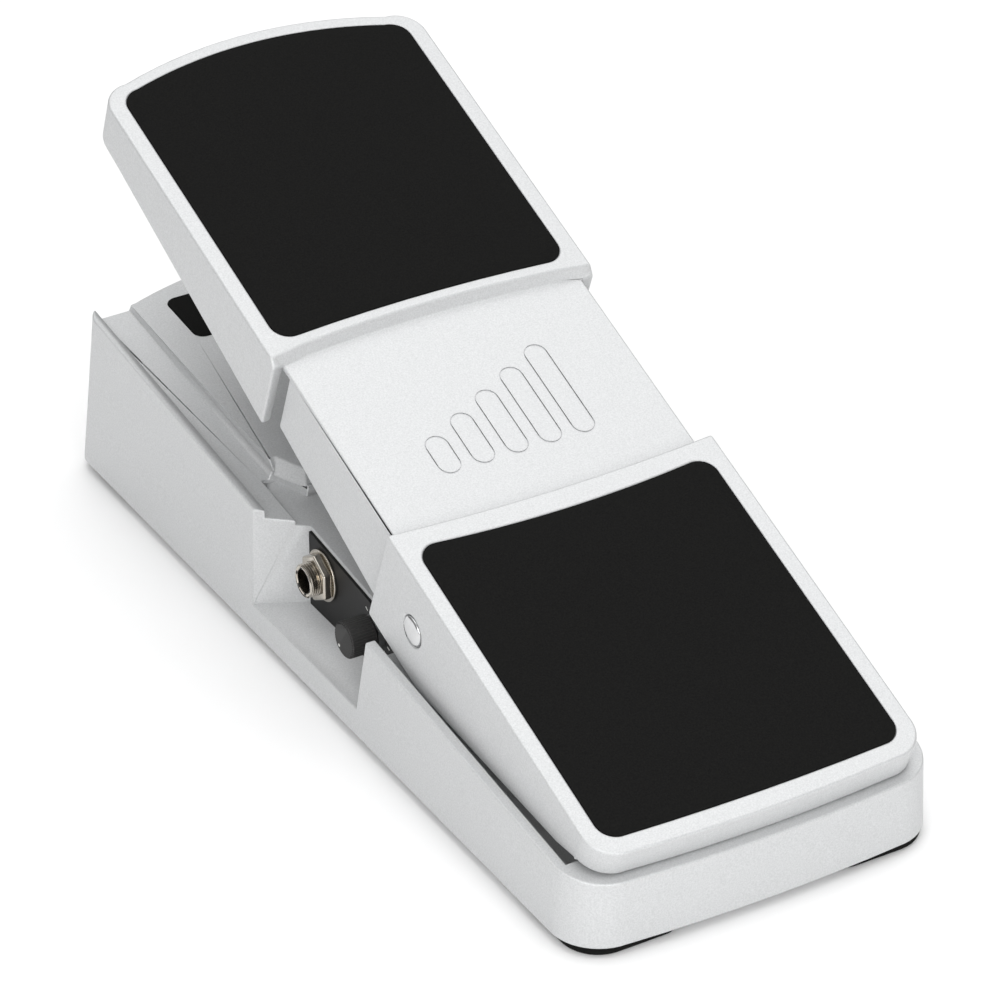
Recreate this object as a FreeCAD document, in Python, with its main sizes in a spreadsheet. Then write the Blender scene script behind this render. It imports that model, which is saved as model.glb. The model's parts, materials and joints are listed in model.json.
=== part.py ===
"""Volume pedal: a cast base, a rocking treadle and the works between them.

Frame: millimetres, +X to the player's right, +Y towards the toe, +Z up.
The origin lies on the floor under the middle of the whole pedal.
The treadle is drawn level, in a frame of its own with its origin on the pivot,
and is then tilted to its rest position, heel down.
"""
import FreeCAD, Part
import math
import os
import Sketcher
from FreeCAD import Placement, Rotation, Vector

os.makedirs("parts", exist_ok=True)
doc = FreeCAD.newDocument("volume_pedal")

# ---------------------------------------------------------------- driving dimensions
DIMENSIONS = {
    # base casting: outline on the floor side
    "half_width": 51.0, "heel_end": 132.6, "heel_corner": 131.1, "heel_round": 13.0,
    "toe_end": 132.6, "toe_corner": 128.8, "toe_round": 6.0, "toe_deck_edge": 129.4,
    "foot_height": 2.6,
    # base casting: the same outline where the walls end, and how high that is
    "top_half_width": 49.5, "top_height": 52.6, "top_toe_end": 125.4, "top_toe_corner": 121.0,
    "top_deck_edge": 118.0,
    # sloping tops: height over the origin and rise per millimetre towards the toe
    "wall_top": 35.46, "wall_rise": 0.1155, "deck_top": 38.6, "deck_rise": 0.09,
    "ledge_drop": 3.5, "channel_drop": 6.5, "channel_toe_top": 33.0, "channel_toe_rise": 0.125,
    "deck_half": 37.8, "deck_start": 31.5, "wall_inner": 47.4, "core_half": 38.2,
    "roof": 2.4, "shell": 3.0,
    # side recess that holds a jack
    "recess_floor": 10.6, "recess_toe": 29.0, "recess_toe_inner": 20.4, "recess_heel": 25.2,
    "recess_heel_top": 31.8, "recess_ramp": 1.4,
    # jacks and the trim knob
    "jack_along": 11.9, "jack_up": 24.9, "bush_r": 4.45, "socket_r": 3.25, "bush_reach": 6.0,
    "trim_along": -15.1, "trim_up": 23.9, "trim_knob_r": 4.85, "trim_knob_end": 48.4,
    "plate_thick": 0.8,
    # treadle
    "pivot_along": -45.0, "pivot_up": 42.85, "rest_tilt": 19.8,
    "skin": 4.0, "skirt": 3.0,
    "toe_half": 46.0, "toe_level": 14.8, "toe_far": 182.0, "toe_side": 168.0,
    "step_mid": 79.4, "step_side": 76.8,
    "mid_half": 42.8, "mid_level": 12.3,
    "rear_half": 45.9, "rear_level": 15.6, "rear_mid": 16.4, "rear_side": 18.1,
    "rear_end": 86.7, "rear_corner": 77.0,
    "pad_proud": 0.9, "pad_sunk": 1.2, "pad_slope": 3.8,
    # pivot
    "axle_r": 3.0, "axle_head_r": 4.1, "bush_fit": 0.05, "bearing_r": 4.5, "ear_r": 7.5,
    # gearing and potentiometer
    "gear_module": 0.8, "pinion_teeth": 12, "sector_teeth": 120, "mesh_angle": -25.0,
    "gear_left": -4.5, "gear_thick": 4.0, "backlash": 0.1,
    # fasteners and rubber
    "screw_r": 1.5, "screw_head_r": 2.8, "foot_side": 28.0, "base_plate": 1.5,
}


class Size:
    """A number that remembers how it is worked out from the sheet's cells."""

    def __init__(self, value, text):
        self.value = value
        self.text = text

    def _join(self, other, sign, value):
        return Size(value, f"({self.text} {sign} {sized(other).text})")

    def __add__(self, other):
        return self._join(other, "+", self.value + float(other))

    def __sub__(self, other):
        return self._join(other, "-", self.value - float(other))

    def __mul__(self, other):
        return self._join(other, "*", self.value * float(other))

    def __truediv__(self, other):
        return self._join(other, "/", self.value / float(other))

    def __radd__(self, other):
        return sized(other) + self

    def __rsub__(self, other):
        return sized(other) - self

    def __rmul__(self, other):
        return sized(other) * self

    def __neg__(self):
        return sized(0) - self

    def __float__(self):
        return float(self.value)


def sized(number):
    return number if isinstance(number, Size) else Size(float(number), repr(float(number)))


sheet = doc.addObject("Spreadsheet::Sheet", "dims")
for row, (word, amount) in enumerate(DIMENSIONS.items(), start=1):
    sheet.set(f"A{row}", word)
    sheet.set(f"B{row}", str(amount))
    sheet.setAlias(f"B{row}", word)
doc.recompute()


class Sheet:
    """Sheet cells by name: D.half_width is the cell's Size."""

    def __getattr__(self, word):
        return Size(float(sheet.get(word)), f"dims.{word}")


D = Sheet()
NODES = []


def bind(feature, prop, size):
    feature.setExpression(prop, sized(size).text)


def place(feature, at=(0, 0, 0), turn=None):
    """Put a feature at a point given in Sizes, turned first if it has to be."""
    feature.Placement = Placement(Vector(*[float(c) for c in at]), turn or Rotation())
    for axis, amount in zip("xyz", at):
        bind(feature, f"Placement.Base.{axis}", amount)
    return feature


def keep(feature, name):
    """Give a finished sub-part its name and list it for writing."""
    feature.Label = name
    NODES.append(feature)
    return feature


# ---------------------------------------------------------------- bodies, sketches, features
def new_body(name):
    body = doc.addObject("PartDesign::Body", name + "_body")
    return body


def new_sketch(body, name, plane, offset=0.0):
    """An empty sketch on one of the body's own origin planes, moved along its normal."""
    drawing = body.newObject("Sketcher::SketchObject", name)
    support = [part for part in body.Origin.OriginFeatures if part.Role == plane + "_Plane"][0]
    drawing.AttachmentSupport = (support, "")
    drawing.MapMode = "FlatFace"
    drawing.AttachmentOffset = Placement(Vector(0, 0, float(offset)), Rotation())
    bind(drawing, "AttachmentOffset.Base.z", offset)
    return drawing


def pin_point(drawing, edge, end, point):
    for kind, amount in zip(("DistanceX", "DistanceY"), point):
        index = drawing.addConstraint(Sketcher.Constraint(kind, -1, 1, edge, end, float(amount)))
        if isinstance(amount, Size):
            bind(drawing, f"Constraints[{index}]", amount)


def arc_between(start, end, sagitta):
    """Arc between two corners; a positive sagitta bulges to the right of the way."""
    a, b = Vector(float(start[0]), float(start[1]), 0), Vector(float(end[0]), float(end[1]), 0)
    chord = b - a
    depth = abs(sagitta)
    radius = (chord.Length ** 2 / 4 + depth ** 2) / (2 * depth)
    side = Vector(chord.y, -chord.x, 0).normalize() * math.copysign(1, sagitta)
    centre = (a + b) * 0.5 + side * (depth - radius)
    first, last = (a, b) if sagitta > 0 else (b, a)
    begin = math.atan2(first.y - centre.y, first.x - centre.x)
    finish = math.atan2(last.y - centre.y, last.x - centre.x)
    if finish < begin:
        finish += 2 * math.pi
    return Part.ArcOfCircle(Part.Circle(centre, Vector(0, 0, 1), radius), begin, finish), radius


def outline(drawing, points):
    """A closed outline. A point is (x, y), or (x, y, sagitta) when an arc leaves it."""
    count = len(points)
    first = len(drawing.Geometry)
    ends = []
    for index, point in enumerate(points):
        following = points[(index + 1) % count]
        if len(point) == 3:
            curve, radius = arc_between(point, following, float(point[2]))
            drawing.addGeometry(curve)
            drawing.addConstraint(Sketcher.Constraint("Radius", first + index, radius))
        else:
            drawing.addGeometry(Part.LineSegment(
                Vector(float(point[0]), float(point[1]), 0),
                Vector(float(following[0]), float(following[1]), 0)))
        ends.append((2, 1) if len(point) == 3 and float(point[2]) < 0 else (1, 2))
    for index in range(count):
        after = (index + 1) % count
        drawing.addConstraint(Sketcher.Constraint(
            "Coincident", first + index, ends[index][1], first + after, ends[after][0]))
        pin_point(drawing, first + index, ends[index][0], points[index][:2])
    return drawing


def rectangle(drawing, low, high):
    return outline(drawing, [low, (high[0], low[1]), high, (low[0], high[1])])


def circle(drawing, centre, radius):
    index = drawing.addGeometry(Part.Circle(
        Vector(float(centre[0]), float(centre[1]), 0), Vector(0, 0, 1), float(radius)))
    pin_point(drawing, index, 3, centre)
    mark = drawing.addConstraint(Sketcher.Constraint("Radius", index, float(radius)))
    bind(drawing, f"Constraints[{mark}]", radius)
    return drawing


def extrude(body, kind, drawing, length, both=False, back=False):
    """A Pad or a Pocket of one length; both centres it on the sketch."""
    feature = body.newObject("PartDesign::" + kind, drawing.Name + "_" + kind.lower())
    feature.Profile = drawing
    bind(feature, "Length", length)
    feature.SideType = "Symmetric" if both else "One side"
    feature.Reversed = back
    before = body.Shape.Volume if kind == "Pocket" else 0
    doc.recompute()
    if kind == "Pocket" and body.Shape.Volume > before - 1e-3:
        raise RuntimeError(f"{feature.Name} cuts nothing")
    return feature


def loft(body, kind, low, high):
    feature = body.newObject("PartDesign::" + kind, low.Name + "_loft")
    feature.Profile = low
    feature.Sections = [high]
    feature.Ruled = True
    doc.recompute()
    return feature


def mirror(body, features, name):
    """Repeat features on the other side of the YZ plane."""
    feature = body.newObject("PartDesign::Mirrored", name)
    plane = [part for part in body.Origin.OriginFeatures if part.Role == "YZ_Plane"][0]
    feature.Originals = features
    feature.MirrorPlane = (plane, [""])
    body.Tip = feature
    doc.recompute()
    return feature


def edges_where(shape, test):
    return [f"Edge{number}" for number, edge in enumerate(shape.Edges, start=1) if test(edge)]


def dress(body, kind, test, size, name, second=None):
    """A Fillet or Chamfer on the edges of the body that pass a test."""
    base = body.Tip
    names = edges_where(base.Shape, test)
    feature = body.newObject("PartDesign::" + kind, name)
    feature.Base = (base, names)
    bind(feature, "Radius" if kind == "Fillet" else "Size", size)
    if second is not None:
        feature.ChamferType = "Two distances"
        bind(feature, "Size2", second)
    body.Tip = feature
    doc.recompute()
    return feature


def upright(edge, places, reach=1.5):
    """True for an edge along Z near one of the (x, y) places."""
    if not isinstance(edge.Curve, (Part.Line, Part.LineSegment)):
        return False
    line = edge.Vertexes[1].Point - edge.Vertexes[0].Point
    spot = edge.Vertexes[0].Point
    return abs(line.normalize().z) > 0.9 and any(
        math.hypot(spot.x - x, spot.y - y) < reach for x, y in places)


# ---------------------------------------------------------------- primitives along an axis
ALONG_X = Rotation(Vector(0, 1, 0), 90)
UP = Rotation()


def rod(name, radius, length, at, turn=UP):
    feature = doc.addObject("Part::Cylinder", name)
    bind(feature, "Radius", radius)
    bind(feature, "Height", length)
    return place(feature, at, turn)


def block(name, sizes, at, turn=UP):
    feature = doc.addObject("Part::Box", name)
    for prop, amount in zip(("Length", "Width", "Height"), sizes):
        bind(feature, prop, amount)
    return place(feature, at, turn)


def hexagon(name, across, length, at, turn=UP):
    feature = doc.addObject("Part::Prism", name)
    feature.Polygon = 6
    bind(feature, "Circumradius", sized(across) / math.sqrt(3))
    bind(feature, "Height", length)
    return place(feature, at, turn)


def cut(name, base, tools):
    """Base less its tools, one after another."""
    for number, tool in enumerate(tools, start=1):
        feature = doc.addObject("Part::Cut", f"{name}_cut{number}")
        feature.Base, feature.Tool = base, tool
        base = feature
    return base


def fuse(name, pieces):
    feature = doc.addObject("Part::MultiFuse", name + "_fused")
    feature.Shapes = pieces
    return feature


def group(name, pieces):
    """Separate solids that share one node, such as a set of like screws."""
    feature = doc.addObject("Part::Compound", name + "_set")
    feature.Links = pieces
    return keep(feature, name)


def ring(name, outer, inner, length, at, turn=UP):
    return cut(name, rod(name + "_outer", outer, length, at, turn),
               [rod(name + "_inner", inner, length, at, turn)])


# ---------------------------------------------------------------- sloping levels of the base
def wall_level(along):
    return D.wall_top + D.wall_rise * along


def deck_level(along):
    return D.deck_top + D.deck_rise * along


def ledge_level(along):
    return wall_level(along) - D.ledge_drop


def heel_channel(along):
    return wall_level(along) - D.channel_drop


def toe_channel(along):
    return D.channel_toe_top + D.channel_toe_rise * along


def slope_outline(start, end, level, floor):
    """Outline in the YZ plane between a floor height and a sloping level."""
    return [(start, floor), (end, floor), (end, level(end)), (start, level(start))]


# ---------------------------------------------------------------- base housing
# Die-cast shell, open underneath: side walls, a raised toe deck, channels that take
# the treadle's skirts, and a recess in each side for a jack.
def base_outline(drawing, half, heel_end, heel_corner, toe_end, toe_corner, horn, round_in,
                 deck_edge):
    heel_side = D.heel_round - heel_corner
    toe_side = toe_corner - D.toe_round
    inner = half - round_in
    channel_end = toe_corner - horn
    deck_bulge = float(toe_end) - float(deck_edge)
    heel_x = half - D.heel_round
    corner = 1.756 * round_in / 6
    heel_arc = float(D.heel_round) * (1 - math.sqrt(0.5))
    return outline(drawing, [
        (half, heel_side), (half, toe_side, float(corner)),
        (inner, toe_corner), (inner, channel_end), (D.core_half, deck_edge, deck_bulge),
        (-D.core_half, deck_edge), (-inner, channel_end), (-inner, toe_corner, float(corner)),
        (-half, toe_side), (-half, heel_side, heel_arc),
        (-heel_x, -heel_corner, float(heel_end) - float(heel_corner)),
        (heel_x, -heel_corner, heel_arc)])


base = new_body("base_housing")
draft = D.half_width - D.top_half_width
low_outline = new_sketch(base, "foot_outline", "XY", D.foot_height)
base_outline(low_outline, D.half_width, D.heel_end, D.heel_corner,
             D.toe_end, D.toe_corner, 0.4, 4.0, D.toe_deck_edge)
high_outline = new_sketch(base, "rim_outline", "XY", D.top_height)
base_outline(high_outline, D.top_half_width, D.heel_end - draft, D.heel_corner - draft,
             D.top_toe_end, D.top_toe_corner, 3.0, 2.2, D.top_deck_edge)
loft(base, "AdditiveLoft", low_outline, high_outline)

FAR = 160.0
ABOVE = 80.0
deck_heel = D.deck_start
top_cut = new_sketch(base, "top_slope", "YZ")
outline(top_cut, [(-FAR, wall_level(-FAR)), (deck_heel, wall_level(deck_heel)),
                  (deck_heel, deck_level(deck_heel)), (FAR, deck_level(FAR)),
                  (FAR, ABOVE), (-FAR, ABOVE)])
extrude(base, "Pocket", top_cut, 2 * FAR, both=True)

side_cut = new_sketch(base, "wall_slope", "YZ", D.deck_half)
outline(side_cut, [(0, wall_level(0)), (FAR, wall_level(FAR)), (FAR, ABOVE), (0, ABOVE)])
wall_pocket = extrude(base, "Pocket", side_cut, FAR, back=True)

# Toe channels: each runs out at the toe, and its inner side leans.
LEAN = 0.31
channel_ends = []
for label, along in (("near", 18.0), ("far", 150.0)):
    section = new_sketch(base, f"toe_channel_{label}", "XZ", -along)
    floor = toe_channel(along)
    foot = D.deck_half + LEAN * (deck_level(along) - floor)
    outline(section, [(D.wall_inner, floor), (D.wall_inner, floor + 20),
                      (foot - 20 * LEAN, floor + 20), (foot, floor)])
    channel_ends.append(section)
toe_pocket = loft(base, "SubtractiveLoft", *channel_ends)

heel_cut = new_sketch(base, "heel_channel", "YZ", D.core_half)
outline(heel_cut, [(-119.0, heel_channel(-119.0)), (18.0, heel_channel(18.0)),
                   (18.0, ABOVE), (-119.0, ABOVE)])
heel_pocket = extrude(base, "Pocket", heel_cut, D.wall_inner - D.core_half, back=True)

# Side recess: its toe side is angled in plan and its heel side leans back.
recess_ends = []
for label, up, heel_edge, wall_edge in (("low", D.recess_floor, D.recess_heel, D.half_width),
                                        ("high", sized(45.0), D.recess_heel_top, D.half_width)):
    section = new_sketch(base, f"recess_{label}", "XY", up)
    outline(section, [(D.core_half, -heel_edge), (60.0, -heel_edge), (60.0, D.recess_toe),
                      (wall_edge, D.recess_toe), (D.core_half, D.recess_toe_inner)])
    recess_ends.append(section)
recess_pocket = loft(base, "SubtractiveLoft", *recess_ends)
mirror(base, [wall_pocket, toe_pocket, heel_pocket, recess_pocket], "both_sides")

# Heel end of the deck: angled facets, and the lower ledge between the recesses.
ledge_cut = new_sketch(base, "ledge", "XY")
ledge_cut.AttachmentOffset = Placement(
    Vector(0, 0, float(ledge_level(0))), Rotation(Vector(1, 0, 0), math.degrees(math.atan(
        float(D.wall_rise)))))
bind(ledge_cut, "AttachmentOffset.Base.z", ledge_level(0))
LEDGE_HALF = 41.0
outline(ledge_cut, [(-LEDGE_HALF, -125.0), (LEDGE_HALF, -125.0), (LEDGE_HALF, 40.5), (37.6, 40.5),
                    (33.0, 31.5), (-33.0, 31.5), (-37.6, 40.5), (-LEDGE_HALF, 40.5)])
extrude(base, "Pocket", ledge_cut, 40.0, back=True)

# Gently rising floor of each recess.
ramp = new_sketch(base, "recess_ramp", "XZ", -D.recess_toe + 0.0)
outline(ramp, [(D.half_width - 0.6, D.recess_floor), (D.core_half - 0.5, D.recess_floor),
               (D.core_half - 0.5, D.recess_floor + D.recess_ramp)])
ramp_pad = extrude(base, "Pad", ramp, D.recess_toe + D.recess_heel + 1.0, back=False)
mirror(base, [ramp_pad], "both_ramps")

# Ears that carry the axle.
ear_inner = D.core_half - 5.0
ear_web = new_sketch(base, "ear_web", "YZ", ear_inner)
outline(ear_web, [(D.pivot_along - 13.0, 21.0), (D.pivot_along + 13.0, 21.0),
                  (D.pivot_along + D.ear_r - 0.6, D.pivot_up + 2.6),
                  (D.pivot_along - D.ear_r + 0.6, D.pivot_up + 2.6)])
ear_pad = extrude(base, "Pad", ear_web, 5.0)
ear_eye = new_sketch(base, "ear_eye", "YZ", ear_inner)
circle(ear_eye, (D.pivot_along, D.pivot_up), D.ear_r)
eye_pad = extrude(base, "Pad", ear_eye, 5.0)
mirror(base, [ear_pad, eye_pad], "both_ears")

# The hollow underneath, one stretch at a time, each under its own sloping roof.
inner_core = D.core_half - D.shell
hollows = (
    ("under_deck_start", 35.0, 44.0, sized(31.5), lambda y: deck_level(y) - D.shell),
    ("under_deck", 42.0, 114.0, inner_core - 0.5, lambda y: deck_level(y) - D.shell),
    ("under_toe_channels", 36.0, 112.0, D.wall_inner, lambda y: toe_channel(y) - D.roof),
    ("under_ledge", -31.0, 37.0, inner_core, lambda y: ledge_level(y) - D.roof),
    ("under_recesses", -24.0, 30.0, D.wall_inner, lambda y: D.recess_floor - D.roof),
    ("under_heel_channels", -116.0, -35.0, D.wall_inner, lambda y: heel_channel(y) - D.roof),
    ("under_heel_deck", -118.0, -29.0, inner_core, lambda y: ledge_level(y) - D.roof),
    ("under_heel_end", -127.0, -100.0, sized(34.0), lambda y: ledge_level(y) - D.roof),
)
for label, start, end, half, roof in hollows:
    section = new_sketch(base, label, "YZ")
    outline(section, slope_outline(sized(start), sized(end), roof, D.foot_height - 1.0))
    extrude(base, "Pocket", section, 2 * half, both=True)

# Screw bosses for the bottom plate, each as tall as the roof over it.
plate_top = D.foot_height + D.base_plate
BOSS_X = 42.0
SCREW_ROWS = ((-98.0, 16.4), (42.0, 37.0), (92.0, 43.2))
for number, (along, top) in enumerate(SCREW_ROWS, start=1):
    boss = new_sketch(base, f"boss_{number}", "XY", plate_top)
    for side in (-1, 1):
        circle(boss, (side * BOSS_X, along), 3.6)
    extrude(base, "Pad", boss, top - plate_top)

# Bores: jacks and trim on their panels, bearings in the ears, slot for the sector.
TRIM_NOSE_R = 3.0
SLOT_ROOM = 1.5
panel_bores = new_sketch(base, "jack_bores", "YZ")
circle(panel_bores, (D.jack_along, D.jack_up), D.bush_r)
extrude(base, "Pocket", panel_bores, 2 * D.core_half + 1.0, both=True)
trim_bore = new_sketch(base, "trim_bore", "YZ", -D.core_half - 1.0)
circle(trim_bore, (D.trim_along, D.trim_up), TRIM_NOSE_R)
extrude(base, "Pocket", trim_bore, D.shell + 2.0, back=True)
ear_bores = new_sketch(base, "ear_bores", "YZ")
circle(ear_bores, (D.pivot_along, D.pivot_up), D.bearing_r)
extrude(base, "Pocket", ear_bores, 2 * D.core_half + 1.0, both=True)
slot = new_sketch(base, "sector_slot", "XY", 25.0)
rectangle(slot, (D.gear_left - SLOT_ROOM, -18.5), (D.gear_left + D.gear_thick + SLOT_ROOM, 13.0))
extrude(base, "Pocket", slot, 20.0, back=True)

# Shallow seat for the rubber toe stop.
STOP_HALF, STOP_HEEL, STOP_TOE = 29.3, 97.9, 117.4
STOP_CORNER = 3.0
STOP_CORNERS = [(sx * STOP_HALF, sy) for sx in (-1, 1) for sy in (STOP_HEEL, STOP_TOE)]
STOP_DEPTH = 1.6
stop_turn = Rotation(Vector(1, 0, 0), math.degrees(math.atan(float(D.deck_rise))))
stop_seat = new_sketch(base, "stop_seat", "XY")
stop_seat.AttachmentOffset = Placement(
    Vector(0, 0, float(deck_level(0)) - STOP_DEPTH), stop_turn)
bind(stop_seat, "AttachmentOffset.Base.z", deck_level(0) - STOP_DEPTH)
rectangle(stop_seat, (-STOP_HALF, STOP_HEEL), (STOP_HALF, STOP_TOE))
extrude(base, "Pocket", stop_seat, 20.0, back=True)
dress(base, "Fillet", lambda e: upright(e, STOP_CORNERS), STOP_CORNER, "stop_seat_corners")
keep(base, "base_housing")

# Rubber pad in that seat, a little proud of the deck.
stop = new_body("toe_stop_pad")
stop_outline = new_sketch(stop, "stop_outline", "XY")
rectangle(stop_outline, (-STOP_HALF, STOP_HEEL), (STOP_HALF, STOP_TOE))
extrude(stop, "Pad", stop_outline, STOP_DEPTH + 0.4)
dress(stop, "Fillet", lambda e: upright(e, STOP_CORNERS), STOP_CORNER, "stop_corners")
place(stop, (0, 0, deck_level(0) - STOP_DEPTH), stop_turn)
keep(stop, "toe_stop_pad")

# ---------------------------------------------------------------- bottom plate, feet, screws
def plate_shape(drawing):
    half, heel_half = 47.0, 34.0
    return outline(drawing, [(-half, -112.0), (-heel_half, -126.6), (heel_half, -126.6),
                             (half, -112.0), (half, 111.6), (-half, 111.6)])


plate = new_body("bottom_plate")
plate_outline = new_sketch(plate, "plate_outline", "XY", D.foot_height)
plate_shape(plate_outline)
extrude(plate, "Pad", plate_outline, D.base_plate)
plate_holes = new_sketch(plate, "plate_holes", "XY", plate_top)
BRACKET_SCREWS = [(12.0, -7.0), (12.0, 13.0)]
for along, top in SCREW_ROWS:
    for side in (-1, 1):
        circle(plate_holes, (side * BOSS_X, along), D.screw_r)
for centre in BRACKET_SCREWS:
    circle(plate_holes, centre, D.screw_r)
extrude(plate, "Pocket", plate_holes, D.base_plate)
keep(plate, "bottom_plate")

# The casting's underside is cut back so that the plate lies inside its rim.
rebate = new_sketch(base, "plate_rebate", "XY", D.foot_height - 1.0)
plate_shape(rebate)
extrude(base, "Pocket", rebate, D.base_plate + 1.0, back=True)

plate_screws = []
for along, top in SCREW_ROWS:
    for side in (-1, 1):
        at = (side * BOSS_X, along)
        tag = f"plate_screw_{'right' if side > 0 else 'left'}_{int(along)}".replace("-", "n")
        shank = rod(tag + "_shank", D.screw_r, 6.0, (*at, D.foot_height - 0.2))
        head = rod(tag + "_head", D.screw_head_r, 1.2, (*at, D.foot_height - 1.2))
        plate_screws.append(fuse(tag, [shank, head]))
# Matching holes in the bosses.
boss_holes = new_sketch(base, "boss_holes", "XY", plate_top)
for along, top in SCREW_ROWS:
    for side in (-1, 1):
        circle(boss_holes, (side * BOSS_X, along), D.screw_r)
extrude(base, "Pocket", boss_holes, 5.0, back=True)
group("bottom_plate_screws", plate_screws)

FEET = {"foot_heel_left": (-35.4, -116.1), "foot_heel_right": (35.4, -116.1),
        "foot_toe_left": (-35.4, 113.4), "foot_toe_right": (35.4, 113.4)}
for name, (across, along) in FEET.items():
    foot = new_body(name)
    half_foot = D.foot_side / 2
    sole = new_sketch(foot, name + "_sole", "XY")
    rectangle(sole, (-half_foot, -half_foot), (half_foot, half_foot))
    extrude(foot, "Pad", sole, D.foot_height)
    reach = float(half_foot)
    outer = (math.copysign(reach, across), math.copysign(reach, along))
    others = [(-outer[0], outer[1]), (outer[0], -outer[1]), (-outer[0], -outer[1])]
    dress(foot, "Fillet", lambda e: upright(e, [outer]), 10.0, name + "_outer_corner")
    dress(foot, "Fillet", lambda e: upright(e, others), 5.0, name + "_corners")
    dress(foot, "Chamfer", lambda e: all(v.Z < 0.01 for v in e.Vertexes), 0.8, name + "_edge")
    place(foot, (across, along, 0))
    keep(foot, name)

# ---------------------------------------------------------------- panels, jacks and trim
JACK_WASHER, JACK_NUT = 0.8, 2.4
for side, where in ((-1, "left"), (1, "right")):
    label = new_body(f"label_plate_{where}")
    drawing = new_sketch(label, f"label_{where}_outline", "YZ", side * D.core_half)
    floor = D.recess_floor + D.recess_ramp + 0.1
    toe, heel = D.recess_toe_inner - 0.9, -D.recess_heel + 0.2
    outline(drawing, [(heel, floor), (toe, floor), (toe, ledge_level(toe) - 0.6),
                      (heel, ledge_level(heel) - 0.6)])
    circle(drawing, (D.jack_along, D.jack_up), D.bush_r)
    if side < 0:
        circle(drawing, (D.trim_along, D.trim_up), TRIM_NOSE_R)
    extrude(label, "Pad", drawing, D.plate_thick, back=side < 0)
    keep(label, f"label_plate_{where}")

    kind = "output" if side < 0 else "input"
    name = f"{kind}_jack"
    outward = Rotation(Vector(0, 1, 0), 90 * side)
    face = side * (D.core_half + D.plate_thick)
    inner = side * (D.core_half - D.shell)

    def on_axis(start):
        return (start, D.jack_along, D.jack_up)

    # threaded bush, part of the jack's nose, with a shallow thread relief
    bush_length = D.shell + D.plate_thick + D.bush_reach
    bush = ring(name + "_bush", D.bush_r, D.socket_r, bush_length, on_axis(inner), outward)
    keep(bush, name + "_bush")
    keep(ring(name + "_washer", 6.9, D.bush_r, JACK_WASHER, on_axis(face), outward),
         name + "_washer")
    nut_at = on_axis(face + side * JACK_WASHER)
    keep(cut(name + "_nut", hexagon(name + "_nut_hex", 11.6, JACK_NUT, nut_at, outward),
             [rod(name + "_nut_hole", D.bush_r, JACK_NUT, nut_at, outward)]), name + "_nut")
    # moulded jack body behind the panel, hollow for the plug
    depth, width, low, tall = 19.0, 15.0, 19.0, 11.0
    box_x = inner - depth if side > 0 else inner
    shell_box = block(name + "_box", (depth, width, tall),
                      (box_x, D.jack_along - width / 2, low))
    plug_way = rod(name + "_way", 3.6, depth - 1.5, on_axis(inner),
                   Rotation(Vector(0, 1, 0), -90 * side))
    keep(cut(name + "_body", shell_box, [plug_way]), name + "_body")
    # sprung contacts: tip and ring, inside the body on either side of the plug
    contacts = []
    for number, (gap, lift) in enumerate(((2.0, -1.0), (9.0, 1.0)), start=1):
        leaf_x = inner - side * gap - (5.0 if side > 0 else 0.0)
        leaf_z = D.jack_up + lift * 3.25 - 0.15
        contacts.append(block(f"{name}_leaf_{number}", (5.0, 1.6, 0.3),
                              (leaf_x, D.jack_along - 0.8, leaf_z)))
    group(name + "_contacts", contacts)

# Trim potentiometer: body and bushing behind the left panel, nut, shaft and knob.
trim_in = -D.core_half + D.shell


def on_trim(start):
    return (start, D.trim_along, D.trim_up)


OUT_LEFT = Rotation(Vector(0, 1, 0), -90)
trim_box = block("trim_box", (8.0, 9.5, 8.4), (trim_in, D.trim_along - 4.75, 18.9))
trim_bushing = rod("trim_bushing", TRIM_NOSE_R, D.shell + D.plate_thick + 1.9, on_trim(trim_in),
                   OUT_LEFT)
trim_hole = rod("trim_hole", 1.55, 14.0, on_trim(trim_in + 6.0), OUT_LEFT)
keep(cut("trim_pot_body", fuse("trim_pot", [trim_box, trim_bushing]), [trim_hole]), "trim_pot_body")
trim_face = -D.core_half - D.plate_thick
keep(cut("trim_pot_nut", hexagon("trim_nut_hex", 8.0, 1.8, on_trim(trim_face), OUT_LEFT),
         [rod("trim_nut_hole", TRIM_NOSE_R, 1.8, on_trim(trim_face), OUT_LEFT)]), "trim_pot_nut")
knob_near = -D.core_half - D.plate_thick - 2.4
knob_length = D.trim_knob_end + knob_near
keep(rod("trim_shaft_rod", 1.5, 6.0 + D.trim_knob_end - 1.2 + trim_in, on_trim(trim_in + 5.5),
         OUT_LEFT), "trim_shaft")
knob_outer = rod("trim_knob_outer", D.trim_knob_r, knob_length, on_trim(knob_near), OUT_LEFT)
shaft_end = 6.0 + D.trim_knob_end - 1.2 + trim_in
knob_bore = rod("trim_knob_bore", 1.5, shaft_end, on_trim(trim_in + 5.5), OUT_LEFT)
grips = [rod(f"trim_grip_{n}", 0.45, knob_length - 1.2,
             (knob_near - 1.2,
              D.trim_along + D.trim_knob_r * math.cos(2 * math.pi * n / 18) * 1.03,
              D.trim_up + D.trim_knob_r * math.sin(2 * math.pi * n / 18) * 1.03), OUT_LEFT)
         for n in range(18)]
keep(cut("trim_knob", knob_outer, [knob_bore, fuse("trim_grips", grips)]), "trim_knob")

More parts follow.
